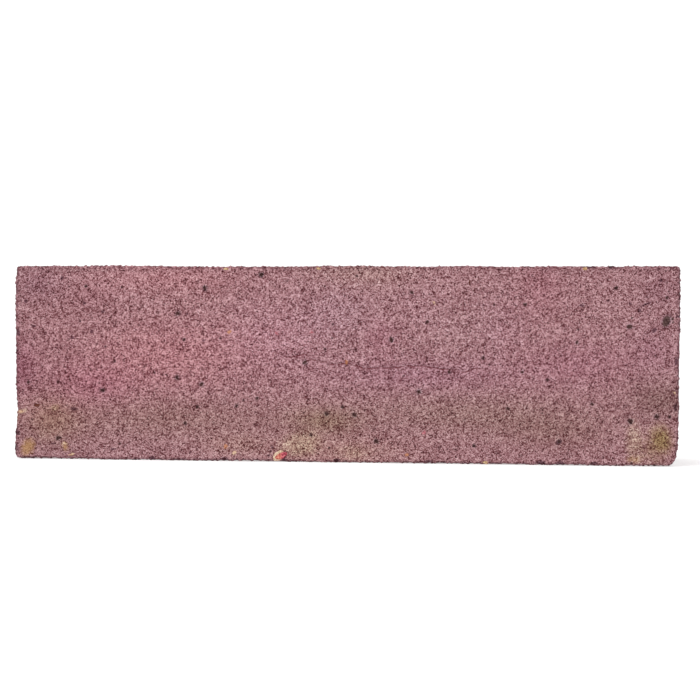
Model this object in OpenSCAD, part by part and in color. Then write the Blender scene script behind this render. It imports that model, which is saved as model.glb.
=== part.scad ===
// A solid fired clay brick of the 240 x 115 x 71 format, pressed and slightly
// tapered, with the inclusions that show on its front stretcher face. Every
// inclusion is a solid of its own, seated in a pocket of its own shape.
//
// +X runs along the length, +Y away from the front stretcher face, +Z up. The
// lower bed lies on Z = 0 and the origin is the middle of the brick's footprint.
// Dimensions are in millimetres.

/* [Brick] */
// Length along the stretcher face, from end to end
body_length = 240; // [190:1:290]
// Width from the front stretcher face to the back one
body_width = 115; // [90:1:140]
// Height at the left end, the lower one
left_height = 69.3; // [52:0.1:90]
// Height at the right end, the taller one
right_height = 72.4; // [52:0.1:90]
// How far the left end leans outwards between the lower bed and the upper bed
left_lean = 0.9; // [0:0.1:3]

/* [Arrises] */
// Radius of an ordinary arris, as it comes out of the kiln
arris_radius = 1.2; // [0.6:0.1:3]
// Radius of the arris between the lower bed and the right end, the most worn one
worn_radius = 2.2; // [0.6:0.1:4]

/* [Layered nodule on the lower arris] */
// Distance of the nodule's middle from the left end
nodule_along = 95.7; // [60:0.1:150]
// Height of the nodule's middle above the lower bed
nodule_up = 1.9; // [1:0.1:6]
// Radius of the whole nodule, to the outside of its cream rind
nodule_radius = 2.9; // [2.2:0.1:5]
// Radius of the red core inside the rind
core_radius = 2.2; // [1:0.1:2.9]
// How far the core breaks out through the rind
core_breakout = 0.2; // [0.05:0.05:1]
// Angle below level of the way from the rind's middle to the core's
core_direction = 45; // [0:5:90]

/* [Pebbles in the face] */
// Radius of the iron nodule near the right end, the biggest one
haloed_iron_radius = 1.7; // [1:0.1:3]
// Radius of the coarse iron nodules
coarse_iron_radius = 0.8; // [0.5:0.05:1.5]
// Radius of the fine iron nodules
fine_iron_radius = 0.5; // [0.3:0.05:1]
// Radius of a grain of cream, orange, rose or yellow grog
grog_radius = 0.8; // [0.4:0.05:1.5]
// Radius of a grain of red rust
rust_radius = 0.7; // [0.4:0.05:1.5]
// Share of a pebble's radius by which its middle lies behind the face
burial = 0.35; // [0:0.05:0.8]

/* [Lenses of buff clay] */
// Depth of a lens of buff clay, measured into the brick from the face
lens_depth = 1.6; // [0.8:0.1:3]
// Radius of the ochre lens at the lower left corner, where it meets the face
left_lens_radius = 2.6; // [2:0.1:6]
// Radius of the tan lens beside the layered nodule
middle_lens_radius = 4.6; // [2:0.1:8]
// Radius of the tan lens near the right end
right_lens_radius = 3; // [2:0.1:6]
// Radius of the olive lens at the lower right corner
corner_lens_radius = 4.2; // [2:0.1:7]

/* [Hidden] */
$fn = 48;

left_x = -body_length / 2;
right_x = body_length / 2;
front_y = -body_width / 2;
back_y = body_width / 2;
// Angle by which the upper bed rises from left to right
rise_angle = atan((right_height - left_height) / body_length);
// Angle by which the left end leans out from upright
lean_angle = atan(left_lean / left_height);
// Distance of the core's middle from the rind's, which lets the core break out
core_offset = nodule_radius - core_radius + core_breakout;
// Length by which a shaping block runs past the brick on the sides it doesn't shape
overrun = 60;

// Corners of the stretcher face, seen from the front: x and z
face_corners = [
    [left_x + left_lean, 0],
    [right_x, 0],
    [right_x, right_height],
    [left_x, left_height]
];
corner_radii = [arris_radius, worn_radius, arris_radius, arris_radius];

// Places in the front face: hundredths of the length from the left end, and
// hundredths of the height there
HALOED_IRON = [[98.1, 73]];
COARSE_IRON = [
    [13.2, 36], [6.6, 11], [24.4, 76], [28.4, 89], [36.9, 96], [24.4, 43],
    [28.1, 39.5], [43.6, 51], [47, 25], [56.6, 63], [60.9, 36.5], [54.5, 11],
    [51.2, 24.5], [92.8, 22.5], [96.8, 25], [92.5, 70]
];
FINE_IRON = [
    [10.5, 90], [2, 40], [25.4, 62.5], [27.5, 28], [33.4, 28.5], [25.7, 19.5],
    [36.5, 32.5], [44.7, 14], [49.4, 28.5], [62, 72], [65.4, 46.5], [59.6, 87],
    [69.3, 9.5], [74.3, 28.5], [98.1, 84.5], [76.7, 81], [76.4, 47], [80.2, 43],
    [87, 31], [98.7, 25], [84.6, 62], [70.5, 54], [82.1, 12], [90.4, 89.5]
];
RUST = [[3.3, 28], [68.3, 92]];
CREAM = [[33.2, 4.5], [0.9, 24.5], [7.6, 8], [8.6, 2.5], [63, 82], [99.4, 37]];
ORANGE = [[32.2, 66.5], [31.8, 7.5], [49.9, 51.5], [59.2, 4.5]];
ROSE = [[39.3, 66], [44.6, 66.5], [61.7, 15.5]];
YELLOW = [[31.6, 99.2], [45.5, 99.2], [85.7, 99.2], [71, 0.8]];
GROG = concat(CREAM, ORANGE, ROSE, YELLOW);

// Places of the buff clay lenses, each with its radius at the face
LENSES = [
    [1.9, 5, left_lens_radius],
    [43.4, 9, middle_lens_radius],
    [93.9, 8, right_lens_radius],
    [97.2, 13, corner_lens_radius]
];

function direction(v) = v / norm(v);

// Half of the angle between the two sides that meet at a corner
function half_angle(before, here, after) =
    acos(direction(before - here) * direction(after - here)) / 2;

// Middle of the arc that rounds a corner
function arc_centre(before, here, after, r) =
    here + direction(direction(before - here) + direction(after - here))
    * r / sin(half_angle(before, here, after));

// Point where the arc of a corner meets the side that runs towards another point
function arc_end(before, here, after, towards, r) =
    here + direction(towards - here) * r / tan(half_angle(before, here, after));

// Height of the upper bed at a distance along x
function height_at(x) =
    left_height + (right_height - left_height) * (x - left_x) / body_length;

// Point of the front face at a place given in hundredths, set back into the brick
function face_point(place, set_back) =
    let (x = left_x + body_length * place[0] / 100)
    [x, front_y + set_back, height_at(x) * place[1] / 100];

// Radius of the ball whose cap is a lens of this radius and depth
function ball_radius(radius, depth) = (radius * radius + depth * depth) / (2 * depth);

// A polygon with each corner rounded by its own radius
module rounded_outline(corners, radii) {
    count = len(corners);
    polygon([
        for (i = [0 : count - 1], side = [count - 1, 1])
            arc_end(corners[(i + count - 1) % count], corners[i],
                    corners[(i + 1) % count], corners[(i + side) % count], radii[i])
    ]);
    for (i = [0 : count - 1])
        translate(arc_centre(corners[(i + count - 1) % count], corners[i],
                             corners[(i + 1) % count], radii[i]))
            circle(r = radii[i]);
}

// A shape drawn in x and z, made as deep as the brick
module stretcher_block() {
    translate([0, back_y, 0])
        rotate([90, 0, 0])
            linear_extrude(height = body_width)
                rounded_outline(face_corners, corner_radii);
}

// A bar along x with its two lower arrises rounded, its underside on z = 0. It
// starts short of x = 0, and runs past the brick at its far end and upwards.
module bed_bar() {
    reach = right_height + overrun;
    corners = [[front_y, 0], [back_y, 0], [back_y, reach], [front_y, reach]];
    translate([-overrun, 0, 0])
        rotate([90, 0, 90])
            linear_extrude(height = body_length + 2 * overrun)
                rounded_outline(corners, [for (corner = corners) arris_radius]);
}

// An upright bar with two rounded arrises along z at x = 0, reaching past the
// brick towards +X
module end_bar() {
    reach = body_length + overrun;
    corners = [[0, front_y], [reach, front_y], [reach, back_y], [0, back_y]];
    translate([0, 0, -overrun])
        linear_extrude(height = right_height + 2 * overrun)
            rounded_outline(corners, [for (corner = corners) arris_radius]);
}

// The brick as one solid, before any pocket is cut
module brick_envelope() {
    intersection() {
        stretcher_block();
        translate([left_x, 0, 0])
            bed_bar();
        translate([left_x, 0, left_height])
            rotate([0, -rise_angle, 0])
                mirror([0, 0, 1])
                    bed_bar();
        translate([left_x + left_lean, 0, 0])
            rotate([0, -lean_angle, 0])
                end_bar();
        translate([right_x, 0, 0])
            mirror([1, 0, 0])
                end_bar();
    }
}

// A ball whose poles lie along y, so that the front face cuts it along a parallel
module facing_ball(radius) {
    rotate([90, 0, 0])
        sphere(r = radius);
}

// Balls at places in the front face, their middles a little behind it
module pebbles(places, radius) {
    for (place = places)
        translate(face_point(place, burial * radius))
            facing_ball(radius);
}

// The outside of the nodule on the lower arris
module nodule_ball() {
    translate([left_x + nodule_along, front_y + burial * nodule_radius, nodule_up])
        facing_ball(nodule_radius);
}

// The core of the nodule, which lies towards its lower right
module core_ball() {
    translate([left_x + nodule_along, front_y + burial * nodule_radius, nodule_up])
        translate([core_offset * cos(core_direction), 0, -core_offset * sin(core_direction)])
            facing_ball(core_radius);
}

// Shallow balls whose caps are the lenses of buff clay
module lens_balls() {
    for (lens = LENSES) {
        radius = ball_radius(lens[2], lens_depth);
        translate(face_point(lens, lens_depth - radius))
            facing_ball(radius);
    }
}

// Pebbles of one kind, worn flush with the faces of the brick
module flush_pebbles(places, radius) {
    intersection() {
        pebbles(places, radius);
        brick_envelope();
    }
}

module fired_clay_body() {
    color([0.62, 0.45, 0.47])
        difference() {
            brick_envelope();
            lens_balls();
            nodule_ball();
            core_ball();
            pebbles(HALOED_IRON, haloed_iron_radius);
            pebbles(COARSE_IRON, coarse_iron_radius);
            pebbles(FINE_IRON, fine_iron_radius);
            pebbles(RUST, rust_radius);
            pebbles(GROG, grog_radius);
        }
}

module cream_nodule_rind() {
    color([0.87, 0.76, 0.62])
        difference() {
            intersection() {
                nodule_ball();
                brick_envelope();
            }
            core_ball();
        }
}

module red_nodule_core() {
    color([0.82, 0.42, 0.40])
        intersection() {
            core_ball();
            brick_envelope();
        }
}

module haloed_iron_nodule() {
    color([0.20, 0.17, 0.19])
        flush_pebbles(HALOED_IRON, haloed_iron_radius);
}

module coarse_iron_nodules() {
    color([0.24, 0.17, 0.18])
        flush_pebbles(COARSE_IRON, coarse_iron_radius);
}

module fine_iron_nodules() {
    color([0.26, 0.18, 0.19])
        flush_pebbles(FINE_IRON, fine_iron_radius);
}

module rust_grains() {
    color([0.36, 0.13, 0.10])
        flush_pebbles(RUST, rust_radius);
}

module cream_grog() {
    color([0.88, 0.78, 0.62])
        flush_pebbles(CREAM, grog_radius);
}

module orange_grog() {
    color([0.82, 0.45, 0.27])
        flush_pebbles(ORANGE, grog_radius);
}

module rose_grog() {
    color([0.78, 0.42, 0.46])
        flush_pebbles(ROSE, grog_radius);
}

module yellow_grog() {
    color([0.80, 0.68, 0.42])
        flush_pebbles(YELLOW, grog_radius);
}

module buff_clay_lenses() {
    color([0.66, 0.54, 0.36])
        difference() {
            intersection() {
                lens_balls();
                brick_envelope();
            }
            nodule_ball();
            core_ball();
            pebbles(HALOED_IRON, haloed_iron_radius);
            pebbles(COARSE_IRON, coarse_iron_radius);
            pebbles(FINE_IRON, fine_iron_radius);
            pebbles(RUST, rust_radius);
            pebbles(GROG, grog_radius);
        }
}

fired_clay_body();
cream_nodule_rind();
red_nodule_core();
haloed_iron_nodule();
coarse_iron_nodules();
fine_iron_nodules();
rust_grains();
cream_grog();
orange_grog();
rose_grog();
yellow_grog();
buff_clay_lenses();
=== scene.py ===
"""A solid fired clay brick with its sanded, iron-spotted stretcher face to the camera.

The brick is one closed, dense mesh shaped by the clay's own marks: sand grains, pits,
worn arrises and a firing crack. Every nodule and grain of grog is a mesh of its own,
bedded in that surface. Lengths are in metres, or in millimetres where a name says mm.
"""
import itertools
import math

import bmesh
import bpy
import numpy as np
from mathutils import Matrix, Vector


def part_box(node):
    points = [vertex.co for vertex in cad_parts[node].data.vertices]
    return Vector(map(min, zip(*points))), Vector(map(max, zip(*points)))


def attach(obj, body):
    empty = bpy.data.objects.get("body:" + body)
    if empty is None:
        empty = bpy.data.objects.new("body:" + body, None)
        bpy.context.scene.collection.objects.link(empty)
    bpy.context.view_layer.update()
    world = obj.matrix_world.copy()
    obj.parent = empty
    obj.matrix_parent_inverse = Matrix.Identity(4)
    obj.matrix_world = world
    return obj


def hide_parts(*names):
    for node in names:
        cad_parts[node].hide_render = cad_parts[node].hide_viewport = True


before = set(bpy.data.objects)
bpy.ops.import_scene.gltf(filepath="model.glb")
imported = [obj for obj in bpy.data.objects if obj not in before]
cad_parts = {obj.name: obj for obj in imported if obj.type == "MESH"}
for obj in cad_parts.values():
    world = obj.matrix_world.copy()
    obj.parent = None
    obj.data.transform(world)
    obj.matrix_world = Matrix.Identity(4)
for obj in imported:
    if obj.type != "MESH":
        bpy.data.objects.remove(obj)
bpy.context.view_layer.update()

MM = 0.001

# ---------------------------------------------------------------- the brick's sizes
BODY_LOW, BODY_HIGH = (np.array(corner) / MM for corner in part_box("fired_clay_body"))
LEFT_X, FRONT_Y = BODY_LOW[:2]
RIGHT_X, BACK_Y, RIGHT_HEIGHT = BODY_HIGH
LENGTH = RIGHT_X - LEFT_X
LEFT_HEIGHT = 69.3      # mm, the low end
LEFT_LEAN = 0.9         # mm by which the left end leans out at the top
RISE_ANGLE = math.atan((RIGHT_HEIGHT - LEFT_HEIGHT) / LENGTH)

ARRIS_RADIUS = 0.75     # mm, round the front and back faces
# Radius in mm of each corner of the outline: lower left and right, upper left and right
CORNER_RADII = ((2.1, 2.9), (1.5, 1.2))
RIGHT_TOE = 0.9         # mm by which the foot of the right end tucks in
TOE_HEIGHT = 9.0        # mm up to which it does
LEFT_TUCK = 0.5         # mm by which the head of the left end tucks in
HEAD_HEIGHT = 6.0       # mm down to which it does
END_BAND = (1.0, 14.0)  # mm in from an end, between which its own shape fades out
LEFT_DENT = 0.55        # mm, the hollow low on the left end
FOOT_LIFT = 0.15        # mm from the floor to the clay between the sand grains it stands on
FOOT_HEIGHT = 3.0       # mm up to which the foot is lifted
GRID_MM = 0.4           # spacing of the surface mesh along x and z
DEEP_GRID_MM = 0.9      # spacing along y, away from the arrises
ARRIS_BAND_MM = 3.0     # the strip along each arris that keeps the fine spacing

# The firing crack across the middle of the face: x, z
CRACK_ROUTE = [(-33, 38.5), (-26, 39.2), (-22, 38.2), (-15, 38.8), (-11, 36.6), (-6, 35.2),
               (0, 35.7), (10, 34.2), (18, 35), (31, 35), (42, 33.6), (56, 35.4)]
CRACK_DEPTH = 0.35      # mm
CRACK_HALF_WIDTH = 0.4  # mm
CRACK_WANDER = 0.35     # mm by which it strays from that line
CRACK_FADE = 14.0       # mm over which it closes at either end
BED_DEPTH = 0.12        # mm by which the clay is set back under a pebble

# Dark clots of over-fired sand, and painted shade under the nodule's core and along the bottom arris:
# x, z, half length, half height, tilt in degrees
DARK_CLOTS_AND_SHADE = [
    (-27.9, 2.2, 0.9, 0.9, 0), (-27.3, 3.7, 0.7, 1.1, -20), (-26.7, 5.3, 1.3, 0.6, -50),
    (-22.4, 0.6, 1.6, 1.0, 5), (-23.9, 1.0, 1.0, 0.5, 25), (-58.1, 13.3, 0.6, 1.1, 0),
    (-56.3, 3.1, 0.6, 0.6, 0), (-84.1, 3.9, 1.8, 0.55, 5), (-98.5, 18.2, 2.2, 0.9, -5),
    (-106.0, 5.6, 1.3, 0.45, 10), (-119.3, 4.0, 1.2, 1.4, 0), (-118.6, 9.5, 0.9, 1.8, 10),
    (77.0, 8.6, 2.0, 1.3, 30), (70.5, 1.0, 2.8, 1.1, 0), (77.5, 0.8, 2.4, 1.1, 0),
    (90.0, 0.8, 2.0, 1.0, 0), (30.0, 0.8, 2.2, 0.9, 0), (-3.0, 0.8, 1.8, 1.0, 0),
    (-44.0, 0.8, 2.2, 0.9, 0), (-70.0, 0.8, 1.9, 0.9, 0), (108.0, 58.8, 3.6, 0.5, 22),
    (119.4, 54.4, 1.4, 0.7, 10), (110.9, 49.3, 1.5, 1.2, 40), (105.5, 56.5, 0.9, 1.3, 0),
    (102.1, 58.9, 1.2, 0.6, -40), (96.8, 64.3, 1.2, 0.8, 20), (94.1, 59.8, 1.0, 0.6, 0),
    (113.1, 67.4, 1.0, 1.0, 0), (84.6, 58.0, 1.3, 0.8, 0), (86.5, 71.8, 3.4, 0.8, 0),
    (-116.5, 57.0, 0.9, 1.2, -20), (-113.5, 48.0, 1.6, 0.6, 0), (-95.3, 56.5, 1.0, 0.8, 0),
    (-92.5, 46.3, 0.9, 1.1, 30), (-88.5, 53.6, 1.4, 0.6, 20), (-58.2, 53.0, 0.9, 0.6, 0),
    (-51.8, 61.8, 0.9, 0.8, 0), (-52.0, 43.6, 0.8, 0.7, 0), (-99.5, 44.0, 1.0, 0.8, 0),
    (-103.5, 65.5, 1.1, 0.9, 20), (-119.0, 45.5, 0.9, 1.8, 0), (-45.0, 71.4, 2.6, 0.7, 0),
    (-60.0, 71.2, 2.2, 0.7, 0), (95.0, 71.8, 1.8, 0.9, 0), (118.9, 21.5, 0.9, 2.2, 0),
    (119.0, 38.0, 0.9, 2.4, 0),
]
UNDERSIDE_DRAW = 0.3    # mm by which the bottom bed is drawn up inside its lips
LIP_HEIGHT = 0.22       # mm by which the pressed lip of an arris stands above its faces

# Stains of other clays on the front face, each:
# strength, x, z, half length, half height, tilt in degrees, half depth
OCHRE_STAINS = [
    (0.9, -115.1, 4.2, 3.4, 4.8, -20, 4.0), (0.45, -119.2, 15.5, 1.6, 3.4, 0, 2.5),
    (0.6, -101.6, 4.6, 1.9, 2.8, 20, 1.5), (0.45, 104.3, 2.4, 4.2, 2.4, 0, 1.5),
]
OLIVE_STAINS = [
    (0.95, 113.8, 9.6, 6.4, 8.6, 10, 4.0), (0.55, 111.5, 7.0, 8.5, 11.0, 0, 4.0),
]
BUFF_STAINS = [
    (1.0, -16.5, 6.5, 10.5, 6.5, 10, 1.5), (0.9, -23.2, 4.3, 1.9, 0.7, 5, 1.5),
    (0.9, 104.0, 9.0, 4.2, 10.5, 0, 1.5), (0.9, 104.6, 3.0, 4.0, 3.4, 0, 1.5),
    (0.9, -105.3, 18.6, 2.4, 1.7, 15, 1.5), (0.8, -117.0, 17.2, 2.6, 1.3, 20, 1.5),
    (0.4, 3.0, 3.5, 9.0, 5.0, 0, 1.5), (0.25, -109.5, 8.5, 12.0, 8.0, 0, 1.5),
]
FAR_OCHRE, FAR_BUFF = 0.45, 0.55    # strength of the same stains on the other faces
HALO_TILT = 58          # degrees, of the big iron nodule and its halo

# Broad soft clouds of colour from the kiln on the front face:
# x, z, half length, half height, and what red, green and blue are multiplied by
KILN_FLASHES = [
    (-66, 38, 30, 13, (1.13, 1.00, 1.01)), (-92, 27, 16, 8, (1.00, 0.85, 0.93)),
    (-118, 33, 6, 9, (0.86, 0.70, 0.80)), (-112, 63, 9, 6, (0.82, 0.78, 0.83)),
    (-92, 59, 10, 5, (0.92, 0.85, 0.87)), (-66, 66, 28, 6, (1.08, 0.99, 1.00)),
    (-26, 45, 18, 13, (1.10, 1.09, 1.15)), (-3, 54, 12, 10, (1.02, 1.07, 1.11)),
    (6, 69, 18, 5, (1.06, 1.15, 1.04)), (24, 55, 10, 12, (1.05, 1.07, 1.09)),
    (42, 49, 12, 12, (1.02, 1.06, 1.06)), (56, 49, 8, 10, (1.03, 1.02, 1.06)),
    (70, 65, 8, 12, (0.98, 0.88, 0.92)), (84, 37, 20, 8, (0.96, 0.86, 0.93)),
    (28, 32, 34, 6, (0.97, 0.92, 1.01)), (12, 45, 6, 7, (1.00, 0.91, 0.97)),
    (113, 64, 7, 7, (0.86, 0.82, 0.86)), (111, 42, 9, 9, (0.90, 0.84, 0.90)),
    (114, 24, 12, 7, (0.70, 0.70, 0.64)), (-64, 15, 40, 7, (0.88, 0.91, 0.82)),
    (-8, 15, 13, 5, (0.82, 0.90, 0.68)), (46, 18, 40, 7, (0.88, 0.94, 0.84)),
    (76, 12, 20, 6, (0.86, 0.87, 0.80)), (-1, 4, 22, 5, (1.05, 1.10, 0.96)),
    (-39, 6, 12, 4, (1.04, 1.10, 0.98)), (-108, 16, 9, 7, (0.92, 0.90, 0.80)),
    (-110, 42, 14, 20, (0.94, 0.90, 0.91)), (-112, 5, 16, 9, (0.89, 0.87, 0.88)),
    (-104, 13, 10, 7, (0.95, 0.99, 0.86)), (-62, 62, 22, 10, (1.05, 1.06, 1.05)),
]
# Clouds all over the other faces: size, seed, and the same three factors
FAR_CLOUDS = ((34.0, 3, (1.12, 1.09, 1.10)), (26.0, 5, (1.04, 0.95, 0.99)),
              (30.0, 7, (0.93, 1.00, 0.90)))


# ---------------------------------------------------------------- noise
def scrambled(cells, seed):
    """Random numbers from 0 to 1, one for each whole-numbered cell."""
    x, y, z = (cells[..., axis].astype(np.int64) for axis in range(3))
    mixed = (x * 73856093 ^ y * 19349663 ^ z * 83492791 ^ seed * 2654435761) & 0xFFFFFFFF
    for _ in range(2):
        mixed = ((mixed ^ mixed >> 16) * 0x45D9F3B) & 0xFFFFFFFF
    return (mixed ^ mixed >> 16) / 0xFFFFFFFF


def smooth_noise(points, cell, seed):
    """Smooth noise from -1 to 1 whose waves are about two cells long."""
    scaled = points / cell
    base = np.floor(scaled)
    part = scaled - base
    part = part * part * (3 - 2 * part)
    total = np.zeros(len(points))
    for step in itertools.product((0, 1), repeat=3):
        weight = np.prod(np.where(step, part, 1 - part), axis=1)
        total += weight * scrambled(base + step, seed)
    return 2 * total - 1


def rough_noise(points, cell, seed, octaves=3):
    """Noise with finer and weaker waves on top of the coarse ones."""
    return sum(smooth_noise(points, cell / 2 ** n, seed + n) / 2 ** n for n in range(octaves))


def nearest_grain(points, cell, seed):
    """Distance to the nearest of scattered grains, in cells, and that grain's own number."""
    scaled = points / cell
    base = np.floor(scaled)
    nearest = np.full(len(points), 9.0)
    owner = np.zeros(len(points))
    for step in itertools.product((-1, 0, 1), repeat=3):
        home = base + step
        centre = home + np.stack([scrambled(home, seed + axis) for axis in range(3)], -1)
        distance = np.linalg.norm(scaled - centre, axis=1)
        closer = distance < nearest
        nearest[closer] = distance[closer]
        owner[closer] = scrambled(home[closer], seed + 3)
    return nearest, owner


def eased(value, low, high):
    """0 below low, 1 above high and a smooth step between them."""
    share = np.clip((value - low) / (high - low), 0, 1)
    return share * share * (3 - 2 * share)


# ---------------------------------------------------------------- the brick's form
def height_at(x):
    return LEFT_HEIGHT + (RIGHT_HEIGHT - LEFT_HEIGHT) * (x - LEFT_X) / LENGTH


def end_shift(x, up):
    """How far the lean of the left end, its head and the right end's foot move a point."""
    near, far = END_BAND
    level = up * RIGHT_HEIGHT
    lean = LEFT_LEAN * (1 - up) * (RIGHT_X - x) / LENGTH
    at_left = 1 - eased(x, LEFT_X + near, LEFT_X + far)
    lean += LEFT_TUCK * eased(level, RIGHT_HEIGHT - HEAD_HEIGHT, RIGHT_HEIGHT) * at_left
    at_right = eased(x, RIGHT_X - far, RIGHT_X - near)
    toe = RIGHT_TOE * (1 - eased(level, 0, TOE_HEIGHT)) * at_right
    return lean - toe


def tapered(points):
    """Points of the plain block, moved to where the tapered brick has them."""
    x, y, z = points.T
    up = z / RIGHT_HEIGHT
    return np.stack([x + end_shift(x, up), y, up * height_at(x)], -1)


def squared(points):
    """The same move, the other way."""
    x, y, z = points.T
    up = z / height_at(x)
    return np.stack([x - end_shift(x, up), y, up * RIGHT_HEIGHT], -1)


def arris_radius_at(points):
    """Radius of the arrises round the front and back faces, which wear unevenly."""
    return ARRIS_RADIUS * (1 + 0.35 * smooth_noise(points, 9.0, 31))


def corner_radius_at(points):
    """Radius of the arrises that run from front to back, at the outline's corners."""
    right = eased(points[:, 0], LEFT_X / 2, RIGHT_X / 2)
    top = eased(points[:, 2], 0.3 * RIGHT_HEIGHT, 0.7 * RIGHT_HEIGHT)
    low, high = (left_end + (right_end - left_end) * right for left_end, right_end in CORNER_RADII)
    return (low + (high - low) * top) * (1 + 0.3 * smooth_noise(points, 14.0, 33))


def core_and_way_out(points, radius):
    """The nearest point of the block's unrounded core, and the way out from it."""
    x, y, z = points.T
    turn = np.maximum(corner_radius_at(points), radius)
    hub_x = np.clip(x, LEFT_X + turn, RIGHT_X - turn)
    hub_z = np.clip(z, turn, RIGHT_HEIGHT - turn)
    spoke = np.hypot(x - hub_x, z - hub_z)
    pulled = np.minimum(1, (turn - radius) / np.maximum(spoke, 1e-9))
    core = np.stack([
        hub_x + (x - hub_x) * pulled,
        np.clip(y, FRONT_Y + radius, BACK_Y - radius),
        hub_z + (z - hub_z) * pulled,
    ], -1)
    way = points - core
    return core, way, np.linalg.norm(way, axis=1)


def rounded_block(points):
    """Points of the sharp block's surface, brought onto its rounded arrises."""
    radius = arris_radius_at(points)
    core, way, distance = core_and_way_out(points, radius)
    normal = way / distance[:, None]
    on_arris = 1 - np.max(np.abs(normal), axis=1)
    return core + normal * radius[:, None], normal, on_arris


# Chips on the arrises behind the front face: the way out of each arris, and how many
ARRIS_CHIPS = (((0, 1, 1), 6), ((0, 1, -1), 4), ((-1, 1, 0), 2), ((1, 1, 0), 2),
               ((-1, 0, 1), 3), ((1, 0, 1), 3))
CHIP_DEPTHS, CHIP_REACHES = (0.7, 2.6), (3.0, 10.0)     # mm, smallest and largest
CHIP_FREE_STRIP = 20.0  # mm behind the front face with no chips


def chip_list():
    """Chips on the arrises behind the front: place, way out, depth and reach."""
    draw = np.random.default_rng(77)
    low = np.array([LEFT_X, FRONT_Y + CHIP_FREE_STRIP, 0.0])
    high = np.array([RIGHT_X, BACK_Y, RIGHT_HEIGHT])
    chips = []
    for way_out, count in ARRIS_CHIPS:
        way_out = np.array(way_out, float)
        for _ in range(count):
            along = draw.uniform(low, high)
            place = np.where(way_out == 0, along, np.where(way_out > 0, high, low))
            size = draw.uniform(0, 1) ** 2
            depth, reach = (least + (most - least) * size
                            for least, most in (CHIP_DEPTHS, CHIP_REACHES))
            chips.append((place, way_out / np.linalg.norm(way_out), depth, reach))
    return chips


def chipped(points):
    """The block's points with the chips knocked off, and how far each point went in."""
    taken = np.zeros(len(points))
    for place, way_out, depth, reach in chip_list():
        away = points - place
        across = away @ way_out
        along = np.linalg.norm(away - across[:, None] * way_out, axis=1)
        limit = -depth * (1 - (along / reach) ** 2)
        near = np.nonzero((along < reach) & (across > limit - 1))[0]
        rough = 0.3 * rough_noise(points[near], 1.6, 91)
        cut = np.clip(across[near] - limit[near] + rough * (1 - along[near] / reach), 0, None)
        points[near] -= cut[:, None] * way_out
        taken[near] = np.maximum(taken[near], cut)
    return points, taken


def settled_on_brick(points, proud):
    """Points that stick out of the brick are worn back until they stand only this proud."""
    plain = squared(points)
    radius = arris_radius_at(plain)
    core, way, distance = core_and_way_out(plain, radius)
    reach = radius + proud
    outside = distance > reach
    worn = core + way * (reach / np.maximum(distance, 1e-9))[:, None]
    return tapered(np.where(outside[:, None], worn, plain))


def ruled(low, high, fine, coarse):
    """Grid lines from low to high, fine in a band at both ends and coarse between."""
    band = np.arange(0, ARRIS_BAND_MM, fine)
    inner = np.linspace(low + ARRIS_BAND_MM, high - ARRIS_BAND_MM,
                        round((high - low - 2 * ARRIS_BAND_MM) / coarse) + 1)
    return np.concatenate([low + band, inner, (high - band)[::-1]])


# ---------------------------------------------------------------- solids of the frame
def solids_of(node):
    """Middle and radius, in mm, of each separate ball of a CAD node."""
    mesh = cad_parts[node].data
    points = np.array([v.co for v in mesh.vertices]) / MM
    keys = [tuple(row) for row in np.round(points, 4)]
    leader = {}

    def root(key):
        while leader[key] != key:
            leader[key] = leader[leader[key]]
            key = leader[key]
        return key

    for key in keys:
        leader.setdefault(key, key)
    for a, b in (edge.vertices for edge in mesh.edges):
        leader[root(keys[a])] = root(keys[b])
    groups = {}
    for key in leader:
        groups.setdefault(root(key), []).append(key)
    found = []
    for corners in groups.values():
        corners = np.array(corners)
        low, high = corners.min(0), corners.max(0)
        radius = max(high[0] - low[0], high[2] - low[2]) / 2
        middle = np.array([(low[0] + high[0]) / 2, high[1] - radius, (low[2] + high[2]) / 2])
        found.append((middle, radius))
    return sorted(found, key=lambda ball: tuple(ball[0]))


PEBBLE_NODES = ("haloed_iron_nodule", "coarse_iron_nodules", "fine_iron_nodules", "rust_grains",
                "cream_grog", "orange_grog", "rose_grog", "yellow_grog")
PEBBLES = {node: solids_of(node) for node in PEBBLE_NODES}
NODULE_BALL = solids_of("cream_nodule_rind")[0]


# ---------------------------------------------------------------- marks on the brick
FRONT_SKIN = 0.6    # mm behind the front face before a mark on it starts to fade


def behind_front(points):
    """0 on the front face, rising to 1 a little way behind it."""
    return eased(points[:, 1], FRONT_Y + 1, FRONT_Y + 9)


def patch(points, x, z, half_along, half_up, tilt=0.0, half_deep=1.5):
    """1 in the middle of an oval patch on the front face, 0 at its rim and beyond."""
    across, up = points[:, 0] - x, points[:, 2] - z
    turn = math.radians(tilt)
    along = (across * math.cos(turn) + up * math.sin(turn)) / half_along
    over = (up * math.cos(turn) - across * math.sin(turn)) / half_up
    deep = np.clip(points[:, 1] - FRONT_Y - FRONT_SKIN, 0, None) / half_deep
    return np.clip(1 - np.sqrt(along ** 2 + over ** 2 + deep ** 2), 0, 1)


def strongest(points, stains):
    """The strongest of several stains at each point."""
    return np.maximum.reduce([strength * patch(points, *place) for strength, *place in stains])


def crack_offset(points):
    """Height above the crack's line, and how far it gapes there, from 0 to 1."""
    route = np.array(CRACK_ROUTE, float)
    wander = CRACK_WANDER * rough_noise(points * (1, 0, 0) + 3.3, 3.1, 71)
    level = np.interp(points[:, 0], route[:, 0], route[:, 1]) + wander
    from_end = np.minimum(points[:, 0] - route[0, 0], route[-1, 0] - points[:, 0])
    front = 1 - eased(points[:, 1], FRONT_Y + FRONT_SKIN, FRONT_Y + 2 * FRONT_SKIN)
    gape = 0.9 + 0.3 * smooth_noise(points * (1, 0, 0) + 8.1, 5.0, 73)
    return points[:, 2] - level, np.clip(gape, 0, 1) * eased(from_end, 0, CRACK_FADE) * front


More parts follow.
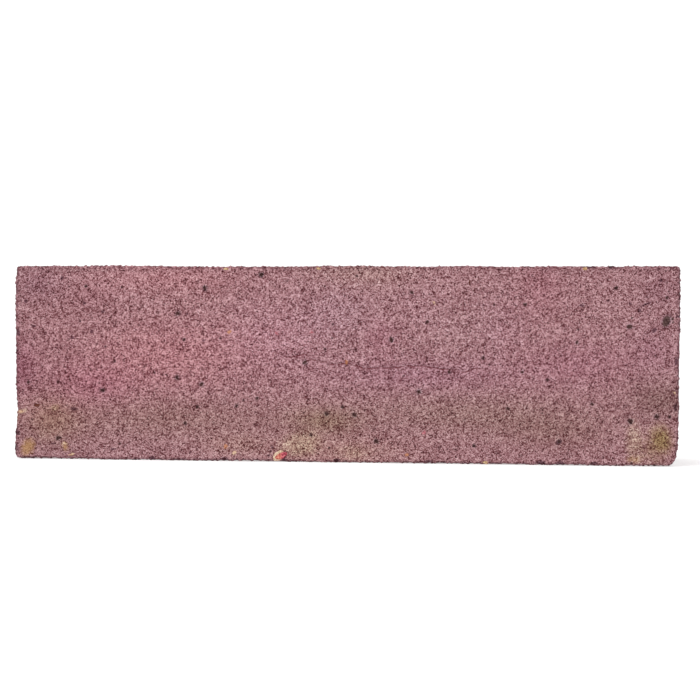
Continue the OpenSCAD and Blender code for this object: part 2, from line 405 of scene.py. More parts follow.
def kiln_tint(points):
    """What the kiln's clouds multiply the clay's red, green and blue by."""
    x, _, z = points.T
    tint = np.ones((len(points), 3))
    far = behind_front(points)
    for at_x, at_z, half_along, half_up, factors in KILN_FLASHES:
        cloud = (1 - far) * np.exp(-((x - at_x) / half_along) ** 2 - ((z - at_z) / half_up) ** 2)
        tint *= 1 + cloud[:, None] * (np.array(factors) - 1)
    for cell, seed, factors in FAR_CLOUDS:
        cloud = far * rough_noise(points, cell, seed)
        tint *= 1 + cloud[:, None] * (np.array(factors) - 1)
    return np.column_stack([tint, np.ones(len(points))])


def pebble_mark(points, balls, reach):
    """1 in the middle of each ball's place, falling to 0 at reach times its radius."""
    mark = np.zeros(len(points))
    for middle, radius in balls:
        near = np.nonzero(np.abs(points[:, 0] - middle[0]) < reach * radius)[0]
        away = np.linalg.norm(points[near] - middle, axis=1) / (reach * radius)
        mark[near] = np.maximum(mark[near], 1 - away)
    return np.clip(mark, 0, 1)


def clay_marks(points, on_arris, taken):
    """The masks that the fired clay's material reads, one value for each point."""
    far = behind_front(points)
    all_irons = PEBBLES["coarse_iron_nodules"] + PEBBLES["fine_iron_nodules"]
    middle, radius = PEBBLES["haloed_iron_nodule"][0]
    halo = patch(points, middle[0], middle[2], 2.3 * radius, 1.5 * radius, HALO_TILT)
    halo = np.maximum(halo, 0.7 * pebble_mark(points, all_irons, 2.5))
    far_ochre = FAR_OCHRE * far * eased(smooth_noise(points, 14.0, 81), 0.72, 1.0)
    far_buff = FAR_BUFF * far * eased(rough_noise(points, 21.0, 83), 0.55, 1.2)
    offset, gape = crack_offset(points)
    return {
        "kiln_tint": kiln_tint(points),
        # dark clots, and painted shade under the nodule's core and along the bottom arris
        "dark_clots_and_shade": np.maximum.reduce([patch(points, *dark_spot) for dark_spot in DARK_CLOTS_AND_SHADE]),
        "fresh_chips": np.clip(taken, 0, 1),
        "far_faces": far,
        # painted shade in a narrow band along the arrises
        "arris_band_painted_shade": near_arris(points),
        "crack_offset": offset,
        "crack_gape": gape,
        "ochre_clay": np.maximum(strongest(points, OCHRE_STAINS), far_ochre),
        "olive_clay": strongest(points, OLIVE_STAINS),
        "buff_clay": np.maximum(strongest(points, BUFF_STAINS), far_buff),
        "iron_halo": halo,
        # also read by the material as painted shade in the pits
        "pitting": pitting(points),
        # painted shade on the arrises
        "arris_painted_shade": arris_painted_shade(points, on_arris),
    }


def arris_painted_shade(points, on_arris):
    """1 on an arris, for painted shade where it turns away from the light; the right end's arrises
    get it most.
    """
    low = 1 - eased(points[:, 2], 3, 8)
    right = eased(points[:, 0], RIGHT_X - 5, RIGHT_X - 2)
    return np.clip(on_arris / 0.25, 0, 1) * (0.3 + 0.7 * right - 0.25 * low)


def near_arris(points):
    """1 on an arris, falling to 0 a few millimetres away from it on either face."""
    plain = squared(points)
    from_faces = np.stack([
        np.minimum(plain[:, 0] - LEFT_X, RIGHT_X - plain[:, 0]),
        np.minimum(plain[:, 1] - FRONT_Y, BACK_Y - plain[:, 1]),
        np.minimum(plain[:, 2], RIGHT_HEIGHT - plain[:, 2]),
    ])
    second = np.sort(from_faces, axis=0)[1]
    return 1 - eased(second, 0.5, 2.4)


def pitting(points):
    """1 at the bottom of each pit where a grain has fallen out."""
    depth = np.zeros(len(points))
    for cell, largest, seed in ((5.5, 0.95, 41), (2.6, 0.55, 45)):
        ragged = points + 0.12 * cell * smooth_noise(points, 0.5, seed)[:, None]
        away, kind = nearest_grain(ragged, cell, seed)
        radius = largest * (0.45 + 0.55 * kind)
        depth = np.maximum(depth, (kind > 0.45) * (1 - eased(away * cell, 0.3 * radius, radius)))
    return depth


def clay_relief(points, on_arris):
    """How far the surface stands above or below its plain form, in mm."""
    grains, owner = nearest_grain(points, 0.95, 11)
    edge = near_arris(points)
    sand = (0.07 + 0.62 * edge) * (0.9 - grains) * (0.2 + 1.1 * owner)
    heave = 0.10 * smooth_noise(points, 38.0, 21) + 0.04 * rough_noise(points, 7.0, 23)
    fines = 0.03 * smooth_noise(points, 0.55, 27)
    lip = LIP_HEIGHT * edge * (0.4 + 0.8 * smooth_noise(points, 12.0, 29))
    chips = 0.8 * on_arris / 0.3 * np.clip(rough_noise(points, 2.2, 51), 0, None) ** 1.5
    nicks = 1.0 * on_arris / 0.3 * eased(rough_noise(points, 7.0, 57), 0.5, 1.0)
    offset, gape = crack_offset(points)
    crack = CRACK_DEPTH * gape * np.exp(-(offset / CRACK_HALF_WIDTH) ** 2)
    return sand + heave + fines + lip - 0.28 * pitting(points) - chips - nicks - crack


def bedding(points):
    """1 where a pebble or the nodule lies in the clay, 0 a little beyond its rim."""
    bed = np.zeros(len(points))
    for middle, radius in sum(PEBBLES.values(), [NODULE_BALL]):
        near = np.nonzero(np.abs(points[:, 0] - middle[0]) < 1.3 * radius)[0]
        away = np.linalg.norm(points[near] - middle, axis=1) / radius
        bed[near] = np.maximum(bed[near], 1 - eased(away, 0.95, 1.25))
    return bed


# ---------------------------------------------------------------- meshes
def mesh_piece(name, points, quads, maps=None, marks=None):
    """A smooth-shaded object from points in mm and quads, with a map and marks."""
    mesh = bpy.data.meshes.new(name)
    mesh.vertices.add(len(points))
    mesh.vertices.foreach_set("co", (points * MM).astype(np.float32).ravel())
    mesh.loops.add(quads.size)
    mesh.loops.foreach_set("vertex_index", quads.ravel().astype(np.int32))
    mesh.polygons.add(len(quads))
    mesh.polygons.foreach_set("loop_start", np.arange(0, quads.size, quads.shape[1]).astype(np.int32))
    mesh.update(calc_edges=True)
    mesh.shade_smooth()
    if maps is not None:
        layer = mesh.uv_layers.new(name="OFBake")
        layer.data.foreach_set("uv", maps.astype(np.float32).ravel())
    for mark, values in (marks or {}).items():
        kind, field = ("FLOAT", "value") if values.ndim == 1 else ("FLOAT_COLOR", "color")
        attribute = mesh.attributes.new(mark, kind, "POINT")
        attribute.data.foreach_set(field, values.astype(np.float32).ravel())
    piece = bpy.data.objects.new(name, mesh)
    bpy.context.scene.collection.objects.link(piece)
    return piece


MAP_GAP = 3.0   # mm between the faces on the flat map
# The faces of the block, in the order in which the map's columns are filled: the two
# axes along the map's sides, the axis the face looks along, which end of it, the column
FACE_LAYOUT = (
    ((0, 2), 1, 0, 0),  # front
    ((0, 2), 1, 1, 0),  # back
    ((0, 1), 2, 0, 0),  # bottom
    ((0, 1), 2, 1, 0),  # top
    ((2, 1), 0, 0, 1),  # left
    ((2, 1), 0, 1, 1),  # right
)


def brick_lattice():
    """Grid points over the whole surface of the block, its quads, and its flat map."""
    lines = [
        ruled(LEFT_X, RIGHT_X, GRID_MM, GRID_MM),
        ruled(FRONT_Y, BACK_Y, GRID_MM, DEEP_GRID_MM),
        ruled(0.0, RIGHT_HEIGHT, GRID_MM, GRID_MM),
    ]
    counts = [len(line) for line in lines]
    filled = [MAP_GAP, MAP_GAP]
    all_keys, all_places = [], []
    map_side = 2 * (BACK_Y - FRONT_Y + RIGHT_HEIGHT) + 6 * MAP_GAP
    for (a, b), fixed, end, column in FACE_LAYOUT:
        i, j = np.meshgrid(np.arange(counts[a] - 1), np.arange(counts[b] - 1), indexing="ij")
        i, j = i.ravel(), j.ravel()
        corners = [(i, j), (i + 1, j), (i + 1, j + 1), (i, j + 1)]
        turn = (a, b, fixed) in ((0, 1, 2), (1, 2, 0), (2, 0, 1))
        if turn != bool(end):
            corners.reverse()
        keys = np.zeros((len(i), 4, 3), np.int64)
        keys[:, :, fixed] = end * (counts[fixed] - 1)
        origin = (MAP_GAP + column * (LENGTH + MAP_GAP), filled[column])
        places = np.zeros((len(i), 4, 2))
        for corner, (at_a, at_b) in enumerate(corners):
            keys[:, corner, a] = at_a
            keys[:, corner, b] = at_b
            places[:, corner, 0] = origin[0] + lines[a][at_a] - lines[a][0]
            places[:, corner, 1] = origin[1] + lines[b][at_b] - lines[b][0]
        filled[column] += lines[b][-1] - lines[b][0] + MAP_GAP
        all_keys.append(keys)
        all_places.append(places)
    keys = np.concatenate(all_keys)
    packed = (keys[..., 0] * counts[1] + keys[..., 1]) * counts[2] + keys[..., 2]
    used, quads = np.unique(packed.ravel(), return_inverse=True)
    k = used % counts[2]
    j = used // counts[2] % counts[1]
    i = used // (counts[1] * counts[2])
    points = np.stack([lines[0][i], lines[1][j], lines[2][k]], -1)
    return points, quads.reshape(-1, 4), np.concatenate(all_places) / map_side


def fired_clay_brick():
    """The clay itself: one closed mesh from end to end."""
    block, quads, maps = brick_lattice()
    plain, normal, on_arris = rounded_block(block)
    plain, taken = chipped(plain)
    points = tapered(plain)
    relief = clay_relief(points, on_arris)
    relief -= UNDERSIDE_DRAW * np.clip(-normal[:, 2], 0, None)
    hollow = np.exp(-((points[:, 2] - 17) / 6) ** 2) - 0.5 * np.exp(-((points[:, 2] - 5) / 4) ** 2)
    relief -= LEFT_DENT * hollow * np.clip(-normal[:, 0], 0, None)
    bed = bedding(points)
    relief = relief * (1 - bed) - BED_DEPTH * bed
    shaped = points + normal * relief[:, None]
    lift = FOOT_LIFT * (1 - eased(shaped[:, 2], 0, FOOT_HEIGHT))
    shaped[:, 2] = np.maximum(shaped[:, 2] + lift, 0.0)
    return mesh_piece("fired_clay_brick", shaped, quads, maps, clay_marks(points, on_arris, taken))


def stone(half_axes, turn, rough, seed, fineness=4):
    """The points and faces of an irregular pebble around the origin, in mm."""
    shape = bmesh.new()
    bmesh.ops.create_icosphere(shape, subdivisions=fineness, radius=1.0)
    points = np.array([v.co for v in shape.verts])
    faces = np.array([[v.index for v in face.verts] for face in shape.faces])
    shape.free()
    size = max(half_axes)
    lumps = 1 + rough * rough_noise(points + seed, 0.9, 100 + seed)
    points = points * lumps[:, None] * half_axes
    points += 0.03 * size * smooth_noise(points, 0.25 * size, 300 + seed)[:, None]
    return points @ np.array(turn.to_3x3()).T, faces


def gathered(name, lumps, marks=None):
    """One object from several pebbles, which stay separate solids in it."""
    offset, all_points, all_faces = 0, [], []
    for points, faces in lumps:
        all_points.append(points)
        all_faces.append(faces + offset)
        offset += len(points)
    return mesh_piece(name, np.concatenate(all_points), np.concatenate(all_faces), marks=marks)


# Grains whose outline is known: half length and half height as shares of the CAD
# ball's radius, and tilt in degrees
KNOWN_SHAPES = {
    "haloed_iron_nodule": [(1.15, 0.7, HALO_TILT)],
    "cream_grog": [(1.3, 0.6, 10), (0.6, 1.1, 60), (1.5, 0.55, 8), (0.9, 0.8, 30),
                   (0.5, 0.6, 0), (0.6, 0.5, 0)],
    "rust_grains": [(1.9, 0.9, 8), (0.4, 2.1, 0)],
    "yellow_grog": [(1.5, 0.6, 0)] * 4,
}


def bedded_pebbles(node, seed, rough, share, proud=0.06, crumbs=3, fineness=3):
    """Irregular pebbles in the places of a CAD node's balls, worn nearly flush.

    The share is their size against the balls', and proud is how far in mm they stand
    out of the clay. Each has a few crumbs of its own stuff broken off beside it.
    """
    draw = np.random.default_rng(seed)
    lumps = []
    for number, (middle, radius) in enumerate(PEBBLES[node]):
        stretch, angle = draw.uniform(0.7, 1.3), draw.uniform(0, 180)
        along, up = stretch * share, share / stretch
        if node in KNOWN_SHAPES:
            along, up, angle = KNOWN_SHAPES[node][number]
        turn = Matrix.Rotation(math.radians(-angle), 4, "Y")
        half_axes = radius * np.array([along, 0.9, up])
        points, faces = stone(half_axes, turn, rough, seed + number, fineness)
        lumps.append((settled_on_brick(points + middle, proud), faces))
        for crumb in range(crumbs):
            bearing = draw.uniform(0, 2 * math.pi)
            away = draw.uniform(0.95, 1.5) * radius * share
            size = draw.uniform(0.14, 0.34) * radius
            beside = middle + away * np.array([math.cos(bearing), 0, math.sin(bearing)])
            beside[1] = FRONT_Y + 0.5 * size
            points, faces = stone(np.full(3, size), turn, rough, seed + 50 * number + crumb, 2)
            stands = proud * draw.uniform(0.5, 0.9)
            lumps.append((settled_on_brick(points + beside, stands), faces))
    return gathered(node, lumps)


def nodule_part(name, half_axes, tilt, shift, proud, seed):
    """One layer of the layered nodule in the lower arris."""
    middle = NODULE_BALL[0] + shift
    turn = Matrix.Rotation(math.radians(-tilt), 4, "Y")
    points, faces = stone(np.array(half_axes), turn, 0.16, seed, 5)
    points = settled_on_brick(points + middle, proud)
    points[:, 2] = np.maximum(points[:, 2], 0.0)
    outline = patch(points, middle[0], middle[2], half_axes[0], half_axes[2], tilt, 50.0)
    dark_rim = (1 - eased(outline, 0.12, 0.45)) * eased(rough_noise(points, 1.1, 400 + seed), -0.5, 0.3)
    return gathered(name, [(points, faces)], {"dark_core_rim": dark_rim})


# ---------------------------------------------------------------- material tools
def screen(red, green, blue):
    """A colour from its 0 to 255 screen values."""
    def linear(value):
        share = value / 255
        return share / 12.92 if share <= 0.04045 else ((share + 0.055) / 1.055) ** 2.4
    return (linear(red), linear(green), linear(blue), 1.0)


class Graph:
    """Adds nodes to a tree and joins them, one short call for each."""

    def __init__(self, tree):
        self.tree = tree

    def node(self, kind, inputs=None, **settings):
        made = self.tree.nodes.new(kind)
        for name, value in settings.items():
            setattr(made, name, value)
        for name, value in (inputs or {}).items():
            self.feed(made.inputs[name], value)
        return made

    def feed(self, socket, value):
        if isinstance(value, bpy.types.NodeSocket):
            self.tree.links.new(value, socket)
        else:
            socket.default_value = value

    def sum(self, operation, a, b=0.0, c=0.0):
        return self.node("ShaderNodeMath", {0: a, 1: b, 2: c}, operation=operation).outputs[0]

    def scaled(self, vector, factor):
        made = self.node(
            "ShaderNodeVectorMath", {"Vector": vector, "Scale": factor}, operation="SCALE")
        return made.outputs["Vector"]

    def step(self, value, low, high, out_low=0.0, out_high=1.0):
        made = self.node(
            "ShaderNodeMapRange",
            {"Value": value, "From Min": low, "From Max": high,
             "To Min": out_low, "To Max": out_high},
            interpolation_type="SMOOTHSTEP")
        return made.outputs["Result"]

    def mix(self, factor, a, b, blend="MIX"):
        made = self.node("ShaderNodeMix", data_type="RGBA", blend_type=blend)
        for socket, value in ((0, factor), (6, a), (7, b)):
            self.feed(made.inputs[socket], value)
        return made.outputs[2]

    def ramp(self, value, stops):
        made = self.node("ShaderNodeValToRGB", {"Fac": value})
        points = made.color_ramp.elements
        while len(points) < len(stops):
            points.new(0.5)
        for point, (place, colour) in zip(points, stops):
            point.position, point.color = place, colour
        return made.outputs["Color"]

    def noise(self, position, scale, detail=2.0, rough=0.5):
        made = self.node(
            "ShaderNodeTexNoise",
            {"Vector": position, "Scale": scale, "Detail": detail, "Roughness": rough})
        return made.outputs["Fac"]

    def grains(self, position, scale):
        made = self.node("ShaderNodeTexVoronoi", {"Vector": position, "Scale": scale})
        apart = self.node("ShaderNodeSeparateColor", {"Color": made.outputs["Color"]})
        return made.outputs["Distance"], apart.outputs

    def mark(self, name):
        return self.node("ShaderNodeAttribute", attribute_name=name).outputs["Fac"]


def new_group(name, inputs, outputs):
    """A shader node group with named inputs and outputs, and its inside."""
    tree = bpy.data.node_groups.new(name, "ShaderNodeTree")
    for socket, kind, value in inputs:
        made = tree.interface.new_socket(socket, in_out="INPUT", socket_type="NodeSocket" + kind)
        if value is not None:
            made.default_value = value
    for socket, kind in outputs:
        tree.interface.new_socket(socket, in_out="OUTPUT", socket_type="NodeSocket" + kind)
    graph = Graph(tree)
    return tree, graph, graph.node("NodeGroupInput").outputs, graph.node("NodeGroupOutput").inputs


def sand_grain_group():
    """Packed sand: each grain has its own tone, with finer dust and coarser clots."""
    tree, graph, given, result = new_group(
        "sand grain",
        [("Position", "Vector", None), ("Grain", "Float", 0.5)],
        [("Tone", "Float"), ("Relief", "Float")])
    fine = graph.sum("DIVIDE", 1.0, given["Grain"])
    away, own = graph.grains(given["Position"], fine)
    coarse_away, coarse_own = graph.grains(given["Position"], graph.sum("MULTIPLY", fine, 0.45))
    dust = graph.noise(given["Position"], graph.sum("MULTIPLY", fine, 1.3), 2.0, 0.6)
    clots = graph.noise(given["Position"], graph.sum("MULTIPLY", fine, 0.16), 3.0, 0.55)
    tone = graph.sum("MULTIPLY", own["Red"], 0.50)
    tone = graph.sum("MULTIPLY_ADD", coarse_own["Red"], 0.10, tone)
    tone = graph.sum("MULTIPLY_ADD", graph.step(dust, 0.3, 0.7), 0.28, tone)
    tone = graph.sum("MULTIPLY_ADD", graph.step(clots, 0.25, 0.75), 0.12, tone)
    graph.feed(result["Tone"], tone)
    domes = graph.sum("MULTIPLY_ADD", away, -0.6, 0.6)
    domes = graph.sum("MULTIPLY_ADD", coarse_away, -0.3, domes)
    graph.feed(result["Relief"], graph.sum("MULTIPLY_ADD", dust, 0.35, domes))
    return tree


def frayed_edge_group():
    """Turns a soft mark into a stain or a patch of painted shade, with a frayed rim."""
    tree, graph, given, result = new_group(
        "frayed edge",
        [("Mark", "Float", 0.0), ("Position", "Vector", None), ("Fray", "Float", 0.4),
         ("Start", "Float", 0.1), ("Full", "Float", 0.6)],
        [("Stain and shade", "Float")])
    rag = graph.sum("SUBTRACT", graph.noise(given["Position"], 0.9, 4.0, 0.65), 0.5)
    held = graph.step(given["Mark"], 0.0, 0.25)
    rag = graph.sum("MULTIPLY", graph.sum("MULTIPLY", rag, given["Fray"]), held)
    frayed = graph.sum("ADD", given["Mark"], rag)
    graph.feed(result["Stain and shade"], graph.step(frayed, given["Start"], given["Full"]))
    return tree


def iron_speck_group():
    """Sparse dark specks where iron has melted out of the clay."""
    tree, graph, given, result = new_group(
        "iron specks",
        [("Position", "Vector", None), ("Spacing", "Float", 3.0), ("Size", "Float", 0.12),
         ("Share", "Float", 0.3)],
        [("Speck", "Float")])
    away, own = graph.grains(given["Position"], graph.sum("DIVIDE", 1.0, given["Spacing"]))
    rag = graph.sum("MULTIPLY_ADD", graph.noise(given["Position"], 1.6, 2.0), 0.12, -0.06)
    reach = graph.sum("MULTIPLY", graph.sum("MULTIPLY_ADD", own["Green"], 0.6, 0.4), given["Size"])
    inside = graph.step(graph.sum("ADD", away, rag), reach, graph.sum("MULTIPLY", reach, 0.5))
    chosen = graph.sum("LESS_THAN", own["Blue"], given["Share"])
    graph.feed(result["Speck"], graph.sum("MULTIPLY", inside, chosen))
    return tree


SAND_GRAIN = sand_grain_group()
FRAYED_EDGE = frayed_edge_group()
IRON_SPECKS = iron_speck_group()


def new_material(name):
    material = bpy.data.materials.new(name)
    material.use_nodes = True
    tree = material.node_tree
    tree.nodes.clear()
    graph = Graph(tree)
    shader = graph.node("ShaderNodeBsdfPrincipled")
    output = graph.node("ShaderNodeOutputMaterial")
    tree.links.new(shader.outputs["BSDF"], output.inputs["Surface"])
    place = graph.node("ShaderNodeTexCoord").outputs["Object"]
    return material, graph, shader, graph.scaled(place, 1 / MM)


def placed(graph, group, **inputs):
    made = graph.node("ShaderNodeGroup", node_tree=group)
    for name, value in inputs.items():
        graph.feed(made.inputs[name], value)
    return made.outputs


DRY_SPECULAR = 0.12     # fired clay hardly shines


def fired_surface(graph, shader, colour, tone, dull, smooth, height, depth_mm):
    """Dry fired clay: dull between the grains, smoother on the pale ones, and bumped."""
    bump = graph.node(
        "ShaderNodeBump", {"Height": height, "Distance": depth_mm * MM, "Strength": 0.8})
    graph.feed(shader.inputs["Base Color"], colour)
    graph.feed(shader.inputs["Roughness"], graph.step(tone, 0.1, 0.9, dull, smooth))
    graph.feed(shader.inputs["Normal"], bump.outputs["Normal"])
    shader.inputs["Specular IOR Level"].default_value = DRY_SPECULAR


# ---------------------------------------------------------------- the materials
LIGHT_SHARE = 0.67      # albedo for a given screen colour under this light


def fired(red, green, blue):
    """The clay's own colour, for the screen colour it should show in this light."""
    colour = screen(red, green, blue)
    return tuple(value * LIGHT_SHARE for value in colour[:3]) + (1.0,)


def fired_clay_material():
    """Mauve-pink sanded clay with its stains, iron specks, crack and worn arrises."""
    material, graph, shader, position = new_material("mauve fired clay")
    sand = placed(graph, SAND_GRAIN, Position=position, Grain=0.375)
    colour = graph.ramp(sand["Tone"], [
        (0.15, fired(44, 8, 11)), (0.31, fired(103, 50, 55)), (0.48, fired(161, 115, 120)),
        (0.66, fired(186, 142, 147)), (0.87, fired(225, 186, 189))])
    tint = graph.node("ShaderNodeAttribute", attribute_name="kiln_tint").outputs["Color"]
    colour = graph.mix(1.0, colour, tint, "MULTIPLY")

    def stained_and_shaded(mark, tint, strength, fray, start, full):
        stain_and_shade = placed(graph, FRAYED_EDGE, Mark=graph.mark(mark), Position=position,
                       Fray=fray, Start=start, Full=full)["Stain and shade"]
        return graph.mix(graph.sum("MULTIPLY", stain_and_shade, strength), colour,
                         graph.mix(1.0, colour, tint, "MULTIPLY"))

    colour = stained_and_shaded("buff_clay", (1.14, 1.36, 1.06, 1), 0.9, 0.5, 0.0, 0.7)
    ochre = placed(graph, FRAYED_EDGE, Mark=graph.mark("ochre_clay"), Position=position,
                   Fray=0.7, Start=0.0, Full=0.7)["Stain and shade"]
    colour = graph.mix(graph.sum("MULTIPLY", ochre, 0.85), colour, graph.ramp(sand["Tone"], [
        (0.2, fired(146, 102, 66)), (0.5, fired(178, 134, 92)), (0.8, fired(198, 158, 112))]))
    colour = stained_and_shaded("olive_clay", (0.74, 0.88, 0.38, 1), 0.95, 0.5, 0.0, 0.8)
    colour = stained_and_shaded("iron_halo", (0.52, 0.62, 0.66, 1), 0.85, 0.5, 0.05, 0.75)
    # Painted shade on the arrises, where they turn away from the light
    colour = stained_and_shaded("arris_painted_shade", (0.66, 0.56, 0.62, 1), 0.75, 0.8, 0.15, 0.9)
    # Painted shade in a narrow band along every arris
    colour = stained_and_shaded("arris_band_painted_shade", (0.40, 0.28, 0.34, 1), 0.85, 3.0, 0.85, 1.3)
    # Dark clots, and painted shade under the nodule's core and along the bottom arris
    colour = stained_and_shaded("dark_clots_and_shade", (0.28, 0.20, 0.26, 1), 0.88, 0.8, 0.1, 0.6)
    colour = stained_and_shaded("fresh_chips", (1.16, 1.06, 1.04, 1), 0.7, 0.6, 0.05, 0.5)

    def covered(mark, strength, *paint):
        return graph.mix(graph.sum("MULTIPLY", mark, strength), colour, fired(*paint))

    # Painted shade in the pits, partly the dark manganese in them
    colour = covered(graph.mark("pitting"), 0.7, 78, 36, 42)
    specks = placed(graph, IRON_SPECKS, Position=position,
                    Spacing=1.7, Size=0.30, Share=0.7)["Speck"]
    colour = covered(specks, 0.85, 70, 26, 30)
    iron_size = graph.step(graph.mark("far_faces"), 0.0, 1.0, 0.15, 0.27)
    irons = placed(graph, IRON_SPECKS, Position=graph.scaled(position, 1.13),
                   Spacing=5.0, Size=iron_size, Share=0.35)["Speck"]
    colour = covered(irons, 0.9, 60, 30, 32)
    pale_grains = placed(graph, IRON_SPECKS, Position=graph.scaled(position, 0.93),
                         Spacing=4.5, Size=0.14, Share=0.12)["Speck"]
    colour = covered(pale_grains, 0.5, 226, 196, 190)

    gape = graph.mark("crack_gape")
    rag = graph.sum("MULTIPLY_ADD", graph.noise(position, 1.1, 3.0, 0.6), 0.6, -0.3)
    offset = graph.sum("ABSOLUTE", graph.sum("ADD", graph.mark("crack_offset"), rag))
    opening = graph.sum("MULTIPLY_ADD", gape, CRACK_HALF_WIDTH, 0.02)
    broken = graph.step(graph.noise(position, 0.45, 2.0), 0.32, 0.52, 0.2, 1.0)
    crack = graph.sum("MULTIPLY", graph.step(offset, opening, 0.0), graph.step(gape, 0.05, 0.6))
    crack = graph.sum("MULTIPLY", crack, broken)
    # Painted shade in the open crack
    colour = covered(crack, 0.8, 108, 36, 46)

    relief = graph.sum("MULTIPLY_ADD", specks, -0.4, sand["Relief"])
    relief = graph.sum("SUBTRACT", relief, crack)
    fired_surface(graph, shader, colour, sand["Tone"], 0.96, 0.74, relief, 0.28)
    return material


def grog_material(name, dark, middle, light, grain=0.4, roughness=0.85):
    """A fired grain of another clay: its own three tones of the same sandy stuff."""
    material, graph, shader, position = new_material(name)
    sand = placed(graph, SAND_GRAIN, Position=position, Grain=grain)
    colour = graph.ramp(sand["Tone"], [
        (0.22, fired(*dark)), (0.5, fired(*middle)), (0.8, fired(*light))])
    fired_surface(graph, shader, colour, sand["Tone"], roughness + 0.1, roughness - 0.1,
                  sand["Relief"], 0.18)
    return material


def core_material(middle):
    """The nodule's core: salmon at its left, rose at its right, darker round its rim and at its right
    end.
    """
    material, graph, shader, position = new_material("salmon and rose core clay")
    sand = placed(graph, SAND_GRAIN, Position=position, Grain=0.45)
    salmon = graph.ramp(sand["Tone"], [
        (0.2, fired(150, 66, 62)), (0.5, fired(212, 118, 104)), (0.8, fired(236, 160, 138))])
    rose = graph.ramp(sand["Tone"], [
        (0.2, fired(136, 48, 64)), (0.5, fired(204, 92, 106)), (0.8, fired(228, 136, 142))])
    apart = graph.node("ShaderNodeSeparateXYZ", {"Vector": position})
    ragged = graph.sum("MULTIPLY_ADD", graph.noise(position, 0.8), 1.6, -0.8)
    across = graph.sum("ADD", apart.outputs["X"], ragged)
    colour = graph.mix(graph.step(across, middle[0] + 0.1, middle[0] + 1.5), salmon, rose)
    low = graph.step(apart.outputs["Z"], 0.9, 0.2)
    colour = graph.mix(graph.sum("MULTIPLY", low, 0.6), colour, fired(214, 184, 134))
    end = graph.step(across, middle[0] + 2.5, middle[0] + 3.3)
    dark_rim = graph.sum("MAXIMUM", end, graph.mark("dark_core_rim"))
    colour = graph.mix(graph.sum("MULTIPLY", dark_rim, 0.65), colour, fired(116, 44, 50))
    fired_surface(graph, shader, colour, sand["Tone"], 0.9, 0.7, sand["Relief"], 0.18)
    return material


# ---------------------------------------------------------------- the pieces
def finish_piece(piece, material, slot, *nodes):
    piece.data.materials.append(material)
    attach(piece, "root")
    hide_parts(*nodes)


finish_piece(fired_clay_brick(), fired_clay_material(), "fired_clay",
             "fired_clay_body", "buff_clay_lenses")

rind = nodule_part("cream_nodule_rind", (2.5, 2.6, 1.65), 33, (0.05, 0.0, -0.05), 0.10, 5)
CREAM_RIND = grog_material("cream rind clay", (170, 128, 108), (228, 198, 168), (248, 228, 202))
finish_piece(rind, CREAM_RIND, "cream_clay", "cream_nodule_rind")
core = nodule_part("red_nodule_core", (2.85, 2.4, 1.22), 27, (0.75, 0.0, -0.25), 0.24, 8)
finish_piece(core, core_material(NODULE_BALL[0]), "red_clay", "red_nodule_core")

IRON = grog_material("vitrified iron", (44, 20, 20), (60, 34, 32), (88, 58, 55), 0.4, 0.7)
HALOED = grog_material("haloed iron", (52, 30, 30), (76, 52, 50), (108, 82, 80), 0.4, 0.8)
RUST = grog_material("red rust", (66, 26, 20), (92, 46, 38), (120, 70, 58), 0.35)
CREAM = grog_material("cream grog", (176, 132, 108), (212, 172, 144), (236, 208, 180))
ORANGE = grog_material("orange grog", (158, 96, 74), (196, 132, 102), (214, 162, 134))
ROSE = grog_material("rose grog", (158, 82, 94), (190, 116, 126), (212, 148, 152))
YELLOW = grog_material("yellow grog", (140, 98, 62), (196, 158, 118), (224, 192, 156))

# The pebbles that stand for each CAD node: its material and slot, then the seed,
# roughness, share and other values that bedded_pebbles takes
PEBBLE_PIECES = (
    ("haloed_iron_nodule", HALOED, "iron_spot", (60, 0.3, 0.9, 0.06, 3, 4)),
    ("coarse_iron_nodules", IRON, "iron_spot", (61, 0.45, 0.84)),
    ("fine_iron_nodules", IRON, "iron_spot", (161, 0.45, 1.0)),
    ("rust_grains", RUST, "rust", (261, 0.3, 1.2, 0.06, 2)),
    ("cream_grog", CREAM, "cream_clay", (361, 0.4, 0.8, 0.08)),
    ("orange_grog", ORANGE, "orange_clay", (461, 0.4, 0.8, 0.08, 2)),
    ("rose_grog", ROSE, "rose_clay", (561, 0.4, 0.8, 0.08, 2)),
    ("yellow_grog", YELLOW, "yellow_clay", (661, 0.4, 1.0, 0.06, 2)),
)
for node, material, slot, making in PEBBLE_PIECES:
    finish_piece(bedded_pebbles(node, *making), material, slot, node)


# ---------------------------------------------------------------- floor, light and camera
FLOOR_HALF_SIDE = 4.0       # metres
FLOOR_GLOW = 0.45
SURROUND_STRENGTH = 1.15
KEY_WATTS, KEY_SIZE = 36.0, 0.9
KEY_PLACE, KEY_TARGET = (-0.5, -1.5, 1.9), (0, 0, 0.03)     # metres
LENS, SENSOR = 200.0, 36.0  # mm
VIEW_WIDTH = 253.2          # mm across the view, at the brick's front face
VIEW_SHIFT = (1.04, 5.36)   # mm from the middle of the face to that of the view


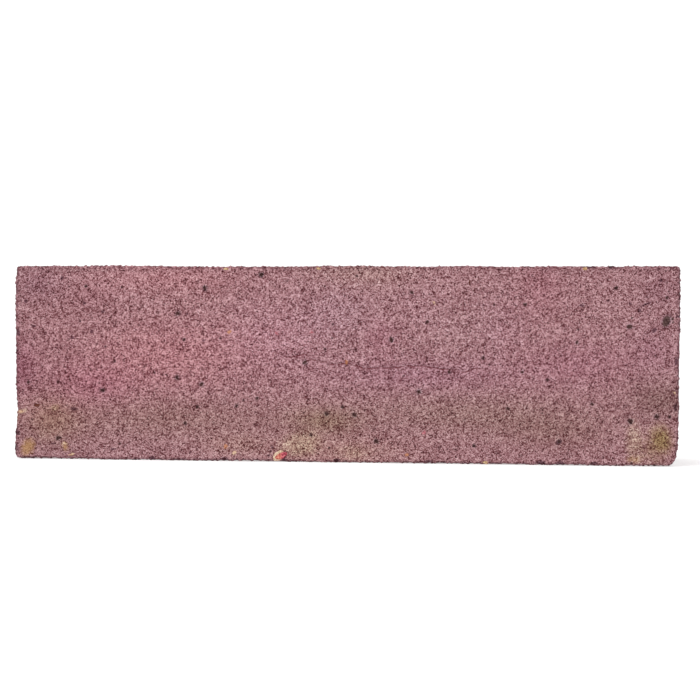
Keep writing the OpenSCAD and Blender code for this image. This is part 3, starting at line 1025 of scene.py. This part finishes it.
def pale_floor():
    """A large plain floor that glows faintly, as a light table does."""
    shape = bmesh.new()
    bmesh.ops.create_grid(shape, x_segments=8, y_segments=8, size=FLOOR_HALF_SIDE)
    mesh = bpy.data.meshes.new("floor")
    shape.to_mesh(mesh)
    shape.free()
    floor = bpy.data.objects.new("floor", mesh)
    bpy.context.scene.collection.objects.link(floor)
    material, graph, shader, position = new_material("pale floor")
    tone = graph.ramp(graph.noise(position, 0.01), [
        (0.3, (0.50, 0.50, 0.50, 1)), (0.7, (0.53, 0.53, 0.53, 1))])
    graph.feed(shader.inputs["Base Color"], tone)
    shader.inputs["Emission Color"].default_value = (1, 1, 1, 1)
    shader.inputs["Emission Strength"].default_value = FLOOR_GLOW
    shader.inputs["Roughness"].default_value = 0.9
    mesh.materials.append(material)


def studio_light():
    """An even white surround, and one broad soft light from above the front."""
    world = bpy.data.worlds.new("studio")
    world.use_nodes = True
    surround = world.node_tree.nodes["Background"]
    surround.inputs["Color"].default_value = (1, 1, 1, 1)
    surround.inputs["Strength"].default_value = SURROUND_STRENGTH
    bpy.context.scene.world = world
    lamp = bpy.data.lights.new("soft key", "AREA")
    lamp.shape, lamp.size, lamp.energy = "DISK", KEY_SIZE, KEY_WATTS
    key = bpy.data.objects.new("soft key", lamp)
    key.location = KEY_PLACE
    aim = Vector(KEY_TARGET) - key.location
    key.rotation_euler = aim.to_track_quat("-Z", "Y").to_euler()
    bpy.context.scene.collection.objects.link(key)


def camera():
    """A long lens square to the stretcher face, level with its upper arris."""
    right = Vector((math.cos(RISE_ANGLE), 0, math.sin(RISE_ANGLE)))
    up = Vector((-math.sin(RISE_ANGLE), 0, math.cos(RISE_ANGLE)))
    back = Vector((0, -1, 0))
    middle = Vector(((LEFT_X + RIGHT_X) / 2, FRONT_Y, (LEFT_HEIGHT + RIGHT_HEIGHT) / 4))
    place = middle + right * VIEW_SHIFT[0] + up * VIEW_SHIFT[1] + back * VIEW_WIDTH * LENS / SENSOR
    facing = Matrix((right, up, back)).transposed().to_4x4()
    data = bpy.data.cameras.new("camera")
    data.lens, data.sensor_width = LENS, SENSOR
    data.clip_start, data.clip_end = 0.01, 20.0
    eye = bpy.data.objects.new("camera", data)
    eye.matrix_world = Matrix.Translation(place * MM) @ facing
    bpy.context.scene.collection.objects.link(eye)
    bpy.context.scene.camera = eye


pale_floor()
studio_light()
camera()
bpy.context.scene.view_settings.view_transform = "Standard"
